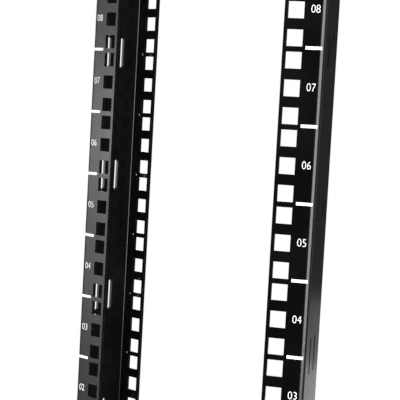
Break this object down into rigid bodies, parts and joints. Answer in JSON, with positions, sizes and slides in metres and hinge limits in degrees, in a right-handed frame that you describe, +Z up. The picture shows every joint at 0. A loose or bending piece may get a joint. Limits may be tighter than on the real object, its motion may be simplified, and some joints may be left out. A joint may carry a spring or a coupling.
{
  "type": "rack mounting rail pair",
  "caption": "Pair of upright folded-channel rack mounting rails with square equipment holes in both flanges, slots in the web and a bolted angle bracket at each end.",
  "frame": {"origin": "on the floor, on the right rail's front line of square holes, midway between its two flanges", "axes": "+Z up along the rails; the right rail's front face looks along -Y and its web is on its +X side"},
  "size_m": [0.2692, 0.2058, 0.5334],
  "materials": {
    "black_powder_coat": "satin",
    "zinc_plate": "bright zinc",
    "white_print": "matt"
  },
  "bodies": {
    "root": {"right_rail": "black_powder_coat", "right_foot_bracket": "black_powder_coat", "right_foot_screws": "zinc_plate", "right_foot_washers": "zinc_plate", "right_foot_lock_washers": "zinc_plate", "right_foot_nuts": "zinc_plate", "right_head_bracket": "black_powder_coat", "right_head_screws": "zinc_plate", "right_head_washers": "zinc_plate", "right_head_lock_washers": "zinc_plate", "right_head_nuts": "zinc_plate", "left_rail": "black_powder_coat", "left_foot_bracket": "black_powder_coat", "left_foot_screws": "zinc_plate", "left_foot_washers": "zinc_plate", "left_foot_lock_washers": "zinc_plate", "left_foot_nuts": "zinc_plate", "left_head_bracket": "black_powder_coat", "left_head_screws": "zinc_plate", "left_head_washers": "zinc_plate", "left_head_lock_washers": "zinc_plate", "left_head_nuts": "zinc_plate"}
  },
  "joints": []
}
